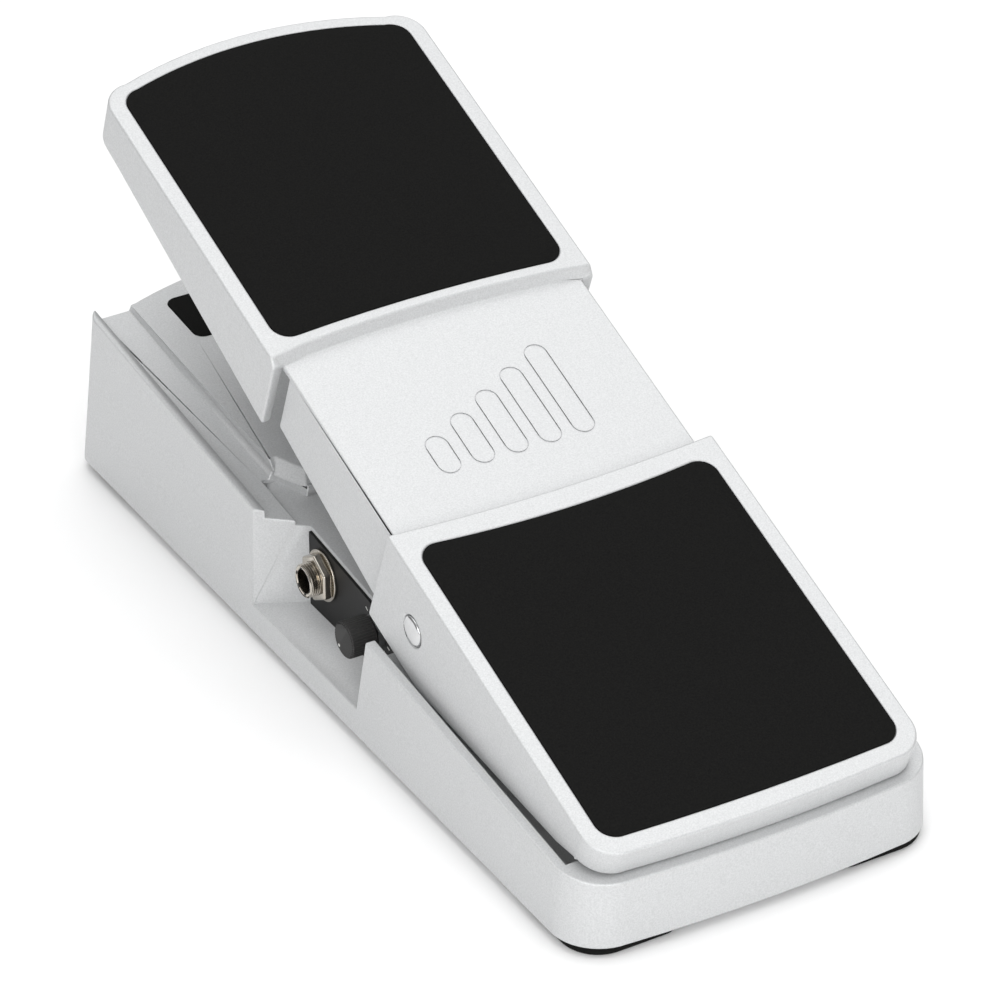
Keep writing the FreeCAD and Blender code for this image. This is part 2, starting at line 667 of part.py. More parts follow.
# ---------------------------------------------------------------- circuit board
BOARD_Z, BOARD_THICK, HEAD_TALL = 10.0, 1.6, 1.6
BOARD_CORNERS = [(-27.0, 48.0), (27.0, 48.0), (-27.0, 82.0), (27.0, 82.0)]
keep(cut("circuit_board", block("board_blank", (60.0, 40.0, BOARD_THICK), (-30.0, 45.0, BOARD_Z)),
         [rod(f"board_hole_{n}", D.screw_r, BOARD_THICK, (*spot, BOARD_Z))
          for n, spot in enumerate(BOARD_CORNERS)]), "circuit_board")
group("board_standoffs", [
    ring(f"standoff_{n}", 2.6, D.screw_r, BOARD_Z - plate_top, (*spot, plate_top))
    for n, spot in enumerate(BOARD_CORNERS)])
group("board_screws", [
    fuse(f"board_screw_{n}", [
        rod(f"board_screw_{n}_head", D.screw_head_r, HEAD_TALL, (*spot, BOARD_Z + BOARD_THICK)),
        rod(f"board_screw_{n}_shank", D.screw_r, 5.0, (*spot, BOARD_Z - 3.4))])
    for n, spot in enumerate(BOARD_CORNERS)])

# ---------------------------------------------------------------- potentiometer and gears
module = float(D.gear_module)
pinion_r = module * float(D.pinion_teeth) / 2
sector_r = module * float(D.sector_teeth) / 2
mesh = math.radians(float(D.mesh_angle))
shaft_along = D.pivot_along + (sector_r + pinion_r) * math.cos(mesh)
shaft_up = D.pivot_up + (sector_r + pinion_r) * math.sin(mesh)
bracket_x = D.gear_left + D.gear_thick + 5.5
SHAFT_R, POT_NOSE_R = 3.0, 3.5


def on_shaft(start):
    return (start, shaft_along, shaft_up)


BRACKET_SHEET, BRACKET_WIDE, BRACKET_HEEL = 1.5, 26.0, -10.0
bracket_corner = (bracket_x, BRACKET_HEEL, plate_top)
bracket_wall = block("bracket_wall", (BRACKET_SHEET, BRACKET_WIDE, 24.0), bracket_corner)
bracket_foot = block("bracket_foot", (13.0, BRACKET_WIDE, BRACKET_SHEET), bracket_corner)
bracket_holes = [rod("bracket_bore", POT_NOSE_R, BRACKET_SHEET, on_shaft(bracket_x), ALONG_X)] + [
    rod(f"bracket_hole_{n}", D.screw_r, BRACKET_SHEET, (*spot, plate_top))
    for n, spot in enumerate(BRACKET_SCREWS)]
keep(cut("pot_bracket", fuse("bracket", [bracket_wall, bracket_foot]), bracket_holes), "pot_bracket")
group("bracket_screws", [
    fuse(f"bracket_screw_{n}", [
        rod(f"bracket_screw_{n}_head", D.screw_head_r, HEAD_TALL,
            (*spot, plate_top + BRACKET_SHEET)),
        rod(f"bracket_screw_{n}_shank", D.screw_r, 3.0, (*spot, D.foot_height))])
    for n, spot in enumerate(BRACKET_SCREWS)])
can_x = bracket_x + BRACKET_SHEET
shaft_fit_r = SHAFT_R + D.bush_fit
keep(cut("pot_can", rod("can_outer", 8.5, 8.0, on_shaft(can_x), ALONG_X),
         [rod("can_bore", shaft_fit_r, 5.0, on_shaft(can_x), ALONG_X)]), "pot_can")
bushing_length = 5.5
keep(ring("pot_bushing", POT_NOSE_R, shaft_fit_r, bushing_length,
          on_shaft(can_x - bushing_length), ALONG_X), "pot_bushing")
POT_NUT = 2.0
nut_start = on_shaft(bracket_x - POT_NUT)
keep(cut("pot_nut", hexagon("pot_nut_hex", 10.0, POT_NUT, nut_start, ALONG_X),
         [rod("pot_nut_hole", POT_NOSE_R, POT_NUT, nut_start, ALONG_X)]), "pot_nut")
shaft_start = D.gear_left - 1.0
keep(rod("pot_shaft_rod", SHAFT_R, can_x + 4.5 - shaft_start, on_shaft(shaft_start), ALONG_X),
     "pot_shaft")


def involute(base_r, radius):
    """Polar angle of the involute where it reaches a radius."""
    roll = math.sqrt(max((radius / base_r) ** 2 - 1, 0.0))
    return roll - math.atan(roll)


def tooth_outline(pitch_r, root_r, tip_r, count, middles):
    """Edges of gear teeth about the origin, one tooth centred on each angle in middles."""
    base_r = pitch_r * math.cos(math.radians(20))
    half_pitch = (math.pi * module / 2 - float(D.backlash) / 2) / pitch_r / 2
    lowest = max(base_r, root_r)

    def point(radius, angle):
        return Vector(radius * math.cos(angle), radius * math.sin(angle), 0)

    def half_angle(radius):
        return half_pitch + involute(base_r, pitch_r) - involute(base_r, max(radius, base_r))

    steps = [lowest + (tip_r - lowest) * n / 5 for n in range(6)]
    edges = []
    previous = None
    for middle in middles:
        start = point(root_r, middle - half_angle(lowest))
        if previous is not None:
            gap = middle - math.pi / count
            edges.append(Part.Arc(previous, point(root_r, gap), start).toShape())
        rise = [point(r, middle - half_angle(r)) for r in steps]
        fall = [point(r, middle + half_angle(r)) for r in reversed(steps)]
        if lowest > root_r:
            edges.append(Part.LineSegment(start, rise[0]).toShape())
        curve = Part.BSplineCurve()
        curve.interpolate(rise)
        edges.append(curve.toShape())
        edges.append(Part.Arc(rise[-1], point(tip_r, middle), fall[0]).toShape())
        curve = Part.BSplineCurve()
        curve.interpolate(fall)
        edges.append(curve.toShape())
        previous = point(root_r, middle + half_angle(lowest))
        if lowest > root_r:
            edges.append(Part.LineSegment(fall[-1], previous).toShape())
    return edges, point


# Pinion: a tooth gap faces the sector's pitch point at rest.
pinion_count = int(float(D.pinion_teeth))
PINION_TIP, PINION_ROOT, SECTOR_TIP, SECTOR_ROOT = 0.7, 0.85, 0.55, 0.9
gap_angle = mesh + math.pi
pinion_middles = [gap_angle + math.pi / pinion_count * (1 + 2 * n) for n in range(pinion_count)]
edges, point = tooth_outline(pinion_r, pinion_r - PINION_ROOT, pinion_r + PINION_TIP,
                             pinion_count, pinion_middles)
first, last = edges[0].Vertexes[0].Point, edges[-1].Vertexes[-1].Point
closing = pinion_middles[0] - math.pi / pinion_count
edges.append(Part.Arc(last, point(pinion_r - PINION_ROOT, closing), first).toShape())
pinion_wire = Part.Wire(Part.__sortEdges__(edges))
pinion_blank = Part.Face(pinion_wire).extrude(Vector(0, 0, float(D.gear_thick)))
pinion_solid = pinion_blank.cut(Part.makeCylinder(SHAFT_R, float(D.gear_thick)))

# Gear outlines are drawn in a plane whose axes are the frame's Y and Z.
TO_YZ = Rotation(Vector(1, 1, 1), 120)
pinion = doc.addObject("Part::Feature", "pinion_solid")
pinion.Shape = pinion_solid
place(pinion, on_shaft(D.gear_left), TO_YZ)
keep(pinion, "pinion")

# ---------------------------------------------------------------- treadle casting
tilt = Rotation(Vector(1, 0, 0), float(D.rest_tilt))


def on_treadle(feature, at=(0, 0, 0), turn=UP):
    """Place a piece drawn in the treadle's level frame at its tilted rest position."""
    local = Placement(Vector(*[float(c) for c in at]), turn)
    hinge = Placement(Vector(0, float(D.pivot_along), float(D.pivot_up)), tilt)
    feature.Placement = hinge.multiply(local)
    return feature


def bulged(drawing, half, far, side, heel_mid, heel_side, corner):
    """Plan outline with a bowed toe edge, corner arcs and a bowed heel edge."""
    tip = float(far) - (half.value - corner) ** 2 / (2 * 118)
    reach = half - corner
    sweep = 0.2929 * corner
    return outline(drawing, [
        (half, heel_side), (half, side, sweep), (reach, tip, float(far) - tip),
        (-reach, tip, sweep), (-half, side), (-half, heel_side, float(heel_side) - float(heel_mid))])


treadle = new_body("treadle_casting")
BELOW = -18.0
TOE_CORNER = 8.0
toe_plan = new_sketch(treadle, "toe_plan", "XY", BELOW)
bulged(toe_plan, D.toe_half, D.toe_far, D.toe_side, D.step_mid, D.step_side, TOE_CORNER)
extrude(treadle, "Pad", toe_plan, D.toe_level - BELOW)
mid_plan = new_sketch(treadle, "mid_plan", "XY", BELOW)
rectangle(mid_plan, (-D.mid_half, D.rear_mid - 4.0), (D.mid_half, D.step_mid + 3.0))
extrude(treadle, "Pad", mid_plan, D.mid_level - BELOW)
rear_plan = new_sketch(treadle, "rear_plan", "XY", BELOW)
REAR_SAG = 1.3
rear_reach = D.rear_half - 9.0
outline(rear_plan, [
    (D.rear_half, -D.rear_corner), (D.rear_half, D.rear_side, float(D.rear_mid - D.rear_side)),
    (-D.rear_half, D.rear_side), (-D.rear_half, -D.rear_corner, 2.6),
    (-rear_reach, -D.rear_end + REAR_SAG, REAR_SAG), (rear_reach, -D.rear_end + REAR_SAG, 2.6)])
extrude(treadle, "Pad", rear_plan, D.rear_level - BELOW)

# The skirts' lower edge: shallow at the toe, deepest by the pivot, rising to the heel.
skirt_line = new_sketch(treadle, "skirt_line", "YZ")
outline(skirt_line, [(-100, 7.8), (-78, 7.4), (-70, 3.8), (-8, -14.2), (21.9, -14.2), (21.9, -12.6),
                     (76.6, -6.4), (76.6, -7.8), (160, 0.9), (200, 4.0), (200, -30), (-100, -30)])
extrude(treadle, "Pocket", skirt_line, 120.0, both=True)

# Hollow underside, one stretch under each level.
skirt = D.skirt
END_IN = 9.0
hollow_plans = (
    ("toe_hollow", D.toe_half - skirt, 74.0, 166.0, D.toe_level - D.skin),
    ("mid_hollow", D.mid_half - skirt, 14.0, 80.0, D.mid_level - D.skin),
    ("rear_hollow", D.rear_half - skirt, -74.0, 18.9, D.rear_level - D.skin),
    ("toe_end_hollow", D.toe_half - END_IN, 160.0, 174.0, D.toe_level - D.skin),
    ("rear_end_hollow", D.rear_half - END_IN, -83.0, -70.0, D.rear_level - D.skin),
)
for label, half, start, end, roof in hollow_plans:
    hollow = new_sketch(treadle, label, "XY", BELOW)
    rectangle(hollow, (-half, start), (half, end))
    extrude(treadle, "Pocket", hollow, roof - BELOW, back=True)

# Cross ribs under the toe and heel plates.
ribs = new_sketch(treadle, "ribs", "YZ")
for along, low, high in ((96.0, 4.0, 11.5), (128.0, 4.0, 11.5), (-40.0, 8.0, 12.5)):
    rectangle(ribs, (along - 1.25, low), (along + 1.25, high))
extrude(treadle, "Pad", ribs, 2 * (D.mid_half - 1.0), both=True)
# Rib that meets the rubber stop when the toe is down.
stop_rib = new_sketch(treadle, "stop_rib", "YZ")
rectangle(stop_rib, (149.0, 2.0), (155.0, 11.5))
extrude(treadle, "Pad", stop_rib, 44.0, both=True)

# Bosses and bores for the axle, and a counterbore for its head and its cap.
boss_face = D.core_half + 2.7
pivot_boss = new_sketch(treadle, "pivot_boss", "YZ", boss_face)
circle(pivot_boss, (0.0, 0.0), 7.0)
boss_pad = extrude(treadle, "Pad", pivot_boss, D.rear_half - 1.5 - boss_face)
mirror(treadle, [boss_pad], "both_bosses")
axle_bore = new_sketch(treadle, "axle_bore", "YZ")
circle(axle_bore, (0.0, 0.0), D.axle_r)
extrude(treadle, "Pocket", axle_bore, 100.0, both=True)
HEAD_DEPTH = 1.4
head_seat = new_sketch(treadle, "head_seat", "YZ", D.rear_half - HEAD_DEPTH)
circle(head_seat, (0.0, 0.0), D.axle_head_r)
seat_pocket = extrude(treadle, "Pocket", head_seat, 5.0, back=True)
mirror(treadle, [seat_pocket], "both_seats")

# Seats for the two rubber pads, and the screw holes of the sector's flange.
PAD_CORNER = 5.0
PAD_SIDE = 41.2
PAD_REACH = PAD_SIDE - PAD_CORNER
SECTOR_SCREWS = [(-8.5, 34.0), (3.5, 34.0), (-8.5, 46.0), (3.5, 46.0)]


def toe_pad_outline(drawing):
    tip = 178.4 - PAD_REACH ** 2 / (2 * 118)
    outline(drawing, [
        (PAD_SIDE, 88.2), (PAD_SIDE, 167.5, 1.46), (PAD_REACH, tip, 178.4 - tip),
        (-PAD_REACH, tip, 1.46), (-PAD_SIDE, 167.5), (-PAD_SIDE, 88.2, 1.4),
        (-PAD_REACH, 83.6, -1.3), (PAD_REACH, 83.6, 1.4)])


def heel_pad_outline(drawing):
    outline(drawing, [
        (PAD_SIDE, -75.6), (PAD_SIDE, 7.4, 1.4), (PAD_REACH, 11.85, -1.85),
        (-PAD_REACH, 11.85, 1.4), (-PAD_SIDE, 7.4), (-PAD_SIDE, -75.6, 1.46),
        (-PAD_REACH, -80.5, 0.8), (PAD_REACH, -80.5, 1.46)])


for label, level, draw in (("toe_pad_seat", D.toe_level, toe_pad_outline),
                           ("heel_pad_seat", D.rear_level, heel_pad_outline)):
    seat = new_sketch(treadle, label, "XY", level - D.pad_sunk)
    draw(seat)
    extrude(treadle, "Pocket", seat, 10.0, back=True)
flange_holes = new_sketch(treadle, "flange_holes", "XY")
for spot in SECTOR_SCREWS:
    circle(flange_holes, spot, D.screw_r)
extrude(treadle, "Pocket", flange_holes, D.mid_level - 1.5, back=True)
on_treadle(treadle)
keep(treadle, "treadle_casting")

# Rubber pads: a flat top with a wide slope round it.
for name, level, draw in (("toe_pad", D.toe_level, toe_pad_outline),
                          ("heel_pad", D.rear_level, heel_pad_outline)):
    pad = new_body(name)
    sheet_outline = new_sketch(pad, name + "_outline", "XY", level - D.pad_sunk)
    draw(sheet_outline)
    extrude(pad, "Pad", sheet_outline, D.pad_sunk + D.pad_proud)
    top = float(level + D.pad_proud)
    dress(pad, "Chamfer", lambda e: all(v.Z > top - 0.01 for v in e.Vertexes),
          D.pad_proud, name + "_slope", D.pad_slope)
    on_treadle(pad)
    keep(pad, name)

# ---------------------------------------------------------------- axle, bearings, washers
axle = new_body("pivot_axle")
profile = new_sketch(axle, "axle_profile", "XY")
head_in = -D.rear_half + HEAD_DEPTH
head_out = -D.rear_half - 0.7
outline(profile, [(head_out, 0.0), (head_out + 0.5, D.axle_head_r - 0.9),
                  (head_out + 1.0, D.axle_head_r), (head_in, D.axle_head_r),
                  (head_in, D.axle_r), (D.rear_half - HEAD_DEPTH, D.axle_r),
                  (D.rear_half - HEAD_DEPTH, 0.0)])
spun = axle.newObject("PartDesign::Revolution", "axle_turned")
spun.Profile = profile
spun.ReferenceAxis = (profile, ["H_Axis"])
spun.Angle = 360.0
doc.recompute()
on_treadle(axle)
keep(axle, "pivot_axle")
cap = rod("axle_cap_disc", D.axle_head_r, HEAD_DEPTH + 0.6, (0, 0, 0))
on_treadle(cap, (D.rear_half - HEAD_DEPTH, 0, 0), ALONG_X)
for axis in "xyz":
    cap.setExpression(f"Placement.Base.{axis}", None)
keep(cap, "axle_cap")

for side, where in ((-1, "left"), (1, "right")):
    outward = Rotation(Vector(0, 1, 0), 90 * side)

    def on_pivot(start):
        return (side * start, D.pivot_along, D.pivot_up)

    sleeve = rod(f"bearing_{where}_sleeve", D.bearing_r, 5.0, on_pivot(ear_inner), outward)
    flange = rod(f"bearing_{where}_flange", 6.6, 0.8, on_pivot(D.core_half), outward)
    bore = rod(f"bearing_{where}_bore", D.axle_r + D.bush_fit, 5.8, on_pivot(ear_inner), outward)
    keep(cut(f"pivot_bearing_{where}", fuse(f"bearing_{where}", [sleeve, flange]), [bore]),
         f"pivot_bearing_{where}")
    keep(ring(f"friction_washer_{where}", 6.6, D.axle_r, 1.6, on_pivot(D.core_half + 1.1), outward),
         f"friction_washer_{where}")

# Rubber bumpers on the ledge, under the heel of the treadle.
BUMPER_ALONG = -116.0
bumper_foot = ledge_level(BUMPER_ALONG - 5.0) - 0.5
group("heel_bumpers", [
    cut(f"bumper_{where}", rod(f"bumper_{where}_rod", 5.0, 27.2 - bumper_foot,
                               (across, BUMPER_ALONG, bumper_foot)),
        [block(f"bumper_{where}_trim", (12.0, 14.0, 6.0),
               (across - 6.0, BUMPER_ALONG - 7.0, ledge_level(BUMPER_ALONG - 7.0) - 6.0),
               Rotation(Vector(1, 0, 0), math.degrees(math.atan(float(D.wall_rise)))))])
    for across, where in ((-24.0, "left"), (24.0, "right"))])

# ---------------------------------------------------------------- toothed sector
SECTOR_LOW, SECTOR_HIGH = -29.5, -2.5
sector_pitch = 360.0 / float(D.sector_teeth)
first_tooth = math.ceil((SECTOR_LOW - float(D.mesh_angle)) / sector_pitch)
last_tooth = math.floor((SECTOR_HIGH - float(D.mesh_angle)) / sector_pitch)
level_mesh = mesh - math.radians(float(D.rest_tilt))
sector_middles = [level_mesh + math.radians(sector_pitch) * n
                  for n in range(first_tooth, last_tooth + 1)]
edges, point = tooth_outline(sector_r, sector_r - SECTOR_ROOT, sector_r + SECTOR_TIP,
                             float(D.sector_teeth), sector_middles)
rim_start, rim_end = edges[0].Vertexes[0].Point, edges[-1].Vertexes[-1].Point
RIM_INNER = 40.0
low_angle, high_angle = sector_middles[0] - 0.01, sector_middles[-1] + 0.01
inner_low, inner_high = point(RIM_INNER, low_angle), point(RIM_INNER, high_angle)
edges.append(Part.LineSegment(rim_end, inner_high).toShape())
edges.append(Part.Arc(inner_high, point(RIM_INNER, (low_angle + high_angle) / 2),
                      inner_low).toShape())
edges.append(Part.LineSegment(inner_low, rim_start).toShape())
rim = Part.Face(Part.Wire(Part.__sortEdges__(edges)))
underside = float(D.mid_level - D.skin)
web_points = [Vector(*spot, 0) for spot in (
    (28.0, underside), (52.0, underside), (46.5, -14.0), (45.0, -18.5), (41.0, -17.0),
    (34.0, -27.0), (29.5, -27.5), (27.0, -10.0))]
web = Part.Face(Part.makePolygon(web_points + web_points[:1]))
thick = float(D.gear_thick)
sector_solid = rim.extrude(Vector(0, 0, thick)).fuse(web.extrude(Vector(0, 0, thick)))
FLANGE = 2.5
foot = Part.makeBox(24.0, FLANGE, 20.0, Vector(28.0, underside - FLANGE, -7.5))
sector_solid = sector_solid.fuse(foot)
for across, along in SECTOR_SCREWS:
    hole = Part.makeCylinder(float(D.screw_r), FLANGE, Vector(
        along, underside - FLANGE, across - float(D.gear_left)), Vector(0, 1, 0))
    sector_solid = sector_solid.cut(hole)
sector = doc.addObject("Part::Feature", "sector_solid")
sector.Shape = sector_solid.removeSplitter()
on_treadle(sector, (D.gear_left, 0, 0), TO_YZ)
keep(sector, "sector_gear")

screws = []
for number, (across, along) in enumerate(SECTOR_SCREWS):
    head = rod(f"sector_screw_{number}_head", D.screw_head_r, HEAD_TALL,
               (across, along, underside - FLANGE - HEAD_TALL))
    shank = rod(f"sector_screw_{number}_shank", D.screw_r, FLANGE + 2.1,
                (across, along, underside - FLANGE))
    screws.append(fuse(f"sector_screw_{number}", [head, shank]))
screw_set = group("sector_screws", screws)
on_treadle(screw_set)

# ---------------------------------------------------------------- check and write
doc.recompute()
for item in doc.Objects:
    if "Invalid" in item.State or "Error" in item.State:
        raise RuntimeError(f"{item.Label} failed: {item.State}")
for feature in NODES:
    shape = feature.Shape
    if shape.isNull() or not shape.isValid() or not shape.Solids:
        raise RuntimeError(f"{feature.Label} has no valid solid")
for feature in NODES:
    feature.Shape.exportStep(f"parts/{feature.Label}.step")
print(len(NODES), "sub-parts written")
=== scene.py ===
"""Looks of a volume pedal: a silver die-cast treadle rocking on a silver die-cast base.

Every piece is in metres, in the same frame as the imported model: +X to the player's
right, +Y towards the toe, +Z up, the origin on the floor under the middle.
"""
import json
import math

import bmesh
import bpy
from mathutils import Matrix, Vector


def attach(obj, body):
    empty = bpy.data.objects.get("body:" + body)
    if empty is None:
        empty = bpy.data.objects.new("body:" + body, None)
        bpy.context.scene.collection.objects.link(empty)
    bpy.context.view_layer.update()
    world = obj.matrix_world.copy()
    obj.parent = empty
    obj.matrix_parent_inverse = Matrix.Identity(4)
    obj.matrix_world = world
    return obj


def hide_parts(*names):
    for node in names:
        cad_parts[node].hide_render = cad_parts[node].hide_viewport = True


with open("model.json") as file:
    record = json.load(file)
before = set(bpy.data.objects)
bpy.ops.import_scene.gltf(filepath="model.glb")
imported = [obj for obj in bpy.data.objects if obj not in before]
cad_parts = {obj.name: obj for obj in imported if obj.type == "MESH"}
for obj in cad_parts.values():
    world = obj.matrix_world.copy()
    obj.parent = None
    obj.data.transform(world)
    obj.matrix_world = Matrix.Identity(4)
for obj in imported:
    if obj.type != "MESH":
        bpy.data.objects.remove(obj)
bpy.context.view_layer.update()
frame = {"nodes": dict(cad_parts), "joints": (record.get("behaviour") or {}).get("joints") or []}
MM = 0.001

# ---------------------------------------------------------------- camera, floor and light
# The pedal stands on a plain pale sweep under wide softboxes, in a room that is dim at
# eye height and pale overhead. A long lens looks down on it from the player's left,
# with the heel nearest.
CAMERA_AZIMUTH, CAMERA_ELEVATION = math.radians(-30.44), math.radians(32.06)
CAMERA_DISTANCE, CAMERA_LENS, CAMERA_SENSOR = 1.2478, 176.85, 36.0
CAMERA_AIM = Vector((0.0130, 0.0137, 0.0295))
HORIZON, ZENITH, ZENITH_FROM = 0.12, 0.68, 0.8
SWEEP_HALF = 3.0

lens = bpy.data.cameras.new("studio_camera")
lens.lens = CAMERA_LENS
lens.sensor_width = CAMERA_SENSOR
lens.clip_start, lens.clip_end = 0.05, 50.0
camera = bpy.data.objects.new("studio_camera", lens)
bpy.context.scene.collection.objects.link(camera)
back = Vector((math.sin(CAMERA_AZIMUTH) * math.cos(CAMERA_ELEVATION),
               -math.cos(CAMERA_AZIMUTH) * math.cos(CAMERA_ELEVATION),
               math.sin(CAMERA_ELEVATION)))
camera.location = CAMERA_AIM + back * CAMERA_DISTANCE
camera.rotation_euler = (-back).to_track_quat("-Z", "Y").to_euler()
bpy.context.scene.camera = camera
bpy.context.scene.view_settings.view_transform = "Standard"

world = bpy.data.worlds.new("studio")
world.use_nodes = True
sky = world.node_tree
height = sky.nodes.new("ShaderNodeSeparateXYZ")
fade = sky.nodes.new("ShaderNodeValToRGB")
for stop, spot, tone in zip(fade.color_ramp.elements, (0.0, ZENITH_FROM), (HORIZON, ZENITH)):
    stop.position = spot
    stop.color = (tone, tone, tone, 1.0)
sky.links.new(sky.nodes.new("ShaderNodeTexCoord").outputs["Generated"], height.inputs["Vector"])
sky.links.new(height.outputs["Z"], fade.inputs["Fac"])
sky.links.new(fade.outputs["Color"], sky.nodes["Background"].inputs["Color"])
sky.nodes["Background"].inputs["Strength"].default_value = 1.0
bpy.context.scene.world = world


def softbox(name, place, aim, size, watts):
    """A square area light that faces a point."""
    light = bpy.data.lights.new(name, "AREA")
    light.size, light.energy = size, watts
    lamp = bpy.data.objects.new(name, light)
    lamp.location = place
    lamp.rotation_euler = (Vector(aim) - Vector(place)).to_track_quat("-Z", "Y").to_euler()
    bpy.context.scene.collection.objects.link(lamp)


softbox("overhead_softbox", (0.25, 0.25, 1.4), aim=(0, 0, 0), size=2.0, watts=16.5)
softbox("left_softbox", (-0.95, -0.85, 0.6), aim=(-0.04, -0.07, 0.03), size=0.8, watts=7.0)
softbox("heel_softbox", (-0.2, -1.3, 0.5), aim=(0, -0.05, 0.03), size=0.8, watts=6.5)


def material(name, **settings):
    """A principled material; each setting goes on the shader's own socket."""
    made = bpy.data.materials.new(name)
    made.use_nodes = True
    shader = made.node_tree.nodes["Principled BSDF"]
    for word, amount in settings.items():
        socket = shader.inputs[word.replace("_", " ")]
        socket.default_value = (*amount, 1.0) if isinstance(amount, tuple) else amount
    return made


MOTTLE_SPAN = (0.3, 0.7)


def grain(made, scale, tones, strength, distance, detail=2.0):
    """Fine mottling, fixed to the object, that tints the colour and roughens the skin."""
    tree = made.node_tree
    shader = tree.nodes["Principled BSDF"]
    place = tree.nodes.new("ShaderNodeTexCoord")
    noise = tree.nodes.new("ShaderNodeTexNoise")
    noise.inputs["Scale"].default_value = scale
    noise.inputs["Detail"].default_value = detail
    ramp = tree.nodes.new("ShaderNodeValToRGB")
    for stop, spot, tone in zip(ramp.color_ramp.elements, MOTTLE_SPAN, tones):
        stop.position = spot
        stop.color = (*tone, 1.0)
    bump = tree.nodes.new("ShaderNodeBump")
    bump.inputs["Strength"].default_value = strength
    bump.inputs["Distance"].default_value = distance
    tree.links.new(place.outputs["Object"], noise.inputs["Vector"])
    tree.links.new(noise.outputs["Fac"], ramp.inputs["Fac"])
    tree.links.new(ramp.outputs["Color"], shader.inputs["Base Color"])
    tree.links.new(noise.outputs["Fac"], bump.inputs["Height"])
    tree.links.new(bump.outputs["Normal"], shader.inputs["Normal"])
    return made


sweep = bmesh.new()
bmesh.ops.create_grid(sweep, x_segments=1, y_segments=1, size=SWEEP_HALF)
floor_mesh = bpy.data.meshes.new("floor")
sweep.to_mesh(floor_mesh)
sweep.free()
floor_mesh.materials.append(material("pale_sweep", Base_Color=(0.92, 0.92, 0.92), Roughness=0.9))
floor = bpy.data.objects.new("floor", floor_mesh)
bpy.context.scene.collection.objects.link(floor)

# ---------------------------------------------------------------- treadle casting
# The rocking plate is one aluminium die casting with skirts down its sides, sprayed
# with a fine-grain metallic silver paint. Its outer edges are softly broken, and the
# step up to the toe plate leans at about 45 degrees.
silver = grain(material("silver_paint", Metallic=0.3, Roughness=0.45), 2600.0,
               ((0.50, 0.507, 0.512), (0.60, 0.607, 0.612)), 0.2, 0.00003)
WELD, FLAT, SHARP = 0.000001, math.radians(0.05), math.radians(30)
PIVOT = Vector(frame["joints"][0]["pos_m"])
REST_TILT = math.radians(19.8)
TREADLE_PLACE = Matrix.Translation(PIVOT) @ Matrix.Rotation(REST_TILT, 4, "X")
TOE_LEVEL, MID_LEVEL = 14.8 * MM, 12.3 * MM
STEP_HEEL, STEP_TOE, STEP_HALF, STEP_SLACK = 76.0 * MM, 79.6 * MM, 46.2 * MM, 0.05 * MM
STEP_SLOPE, TREADLE_BREAK, SHORTEST_EDGE = 2.2 * MM, 0.7 * MM, 0.5 * MM
BROAD_FACE, LOOKS_UP, CREASE = 40.0 * MM * MM, 0.25, math.radians(40)


def welded_copy(node):
    """A plain part's mesh with its corners joined and its flat faces whole."""
    bm = bmesh.new()
    bm.from_mesh(frame["nodes"][node].data)
    bmesh.ops.remove_doubles(bm, verts=bm.verts, dist=WELD)
    bmesh.ops.dissolve_limit(bm, angle_limit=FLAT, verts=bm.verts, edges=bm.edges)
    return bm


def sharp_edges(bm, longer=0.0):
    """The outward corners that turn sharply and are longer than a given length."""
    return [e for e in bm.edges if e.is_manifold and e.is_convex
            and e.calc_face_angle() > SHARP and e.calc_length() > longer]


def break_edges(bm, edges, width, segments=3):
    """Round the edges off, or with one segment cut them back to a slope."""
    bmesh.ops.bevel(bm, geom=edges, offset=width, offset_type="OFFSET", segments=segments,
                    profile=0.5, affect="EDGES", material=-1, clamp_overlap=False)


def add_piece(name, bm, finish, body, slot, *replaced):
    """Make a shaded piece that rides on a body and stands for the plain parts named.

    Broad faces that look up are shaded flat, and the rest smoothly up to the creases.
    """
    for face in bm.faces:
        face.smooth = not (face.calc_area() > BROAD_FACE and face.normal.z > LOOKS_UP)
    mesh = bpy.data.meshes.new(name)
    bm.to_mesh(mesh)
    bm.free()
    mesh.materials.append(finish)
    mesh.set_sharp_from_angle(angle=CREASE)
    piece = bpy.data.objects.new(name, mesh)
    bpy.context.scene.collection.objects.link(piece)
    weighted = piece.modifiers.new("even_shading", "WEIGHTED_NORMAL")
    weighted.keep_sharp = True
    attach(piece, body)
    if replaced:
        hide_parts(*replaced)


bm = welded_copy("treadle_casting")
bm.transform(TREADLE_PLACE.inverted())
step = [e for e in sharp_edges(bm) if all(
    abs(v.co.z - TOE_LEVEL) < STEP_SLACK and STEP_HEEL < v.co.y < STEP_TOE
    and abs(v.co.x) < STEP_HALF for v in e.verts)]
break_edges(bm, step, STEP_SLOPE, segments=1)
break_edges(bm, sharp_edges(bm, SHORTEST_EDGE), TREADLE_BREAK)
bm.transform(TREADLE_PLACE)
add_piece("treadle_shell", bm, silver, "treadle", "silver_paint", "treadle_casting")

# ---------------------------------------------------------------- raised emblem
# Five thin outline bars of rising height stand in the middle of the treadle. They are
# cast with it as fine raised lines, and painted with it.
BARS, BAR_WIDE, BAR_PITCH, BAR_LINE = 5, 6.0 * MM, 9.5 * MM, 0.6 * MM
BAR_FOOT, BAR_SHORTEST, BAR_RISE = 32.0 * MM, 12.0 * MM, 4.5 * MM
BAR_PROUD, BAR_SUNK, BAR_BREAK, BAR_ARC_STEPS = 0.25 * MM, 0.1 * MM, 0.12 * MM, 12

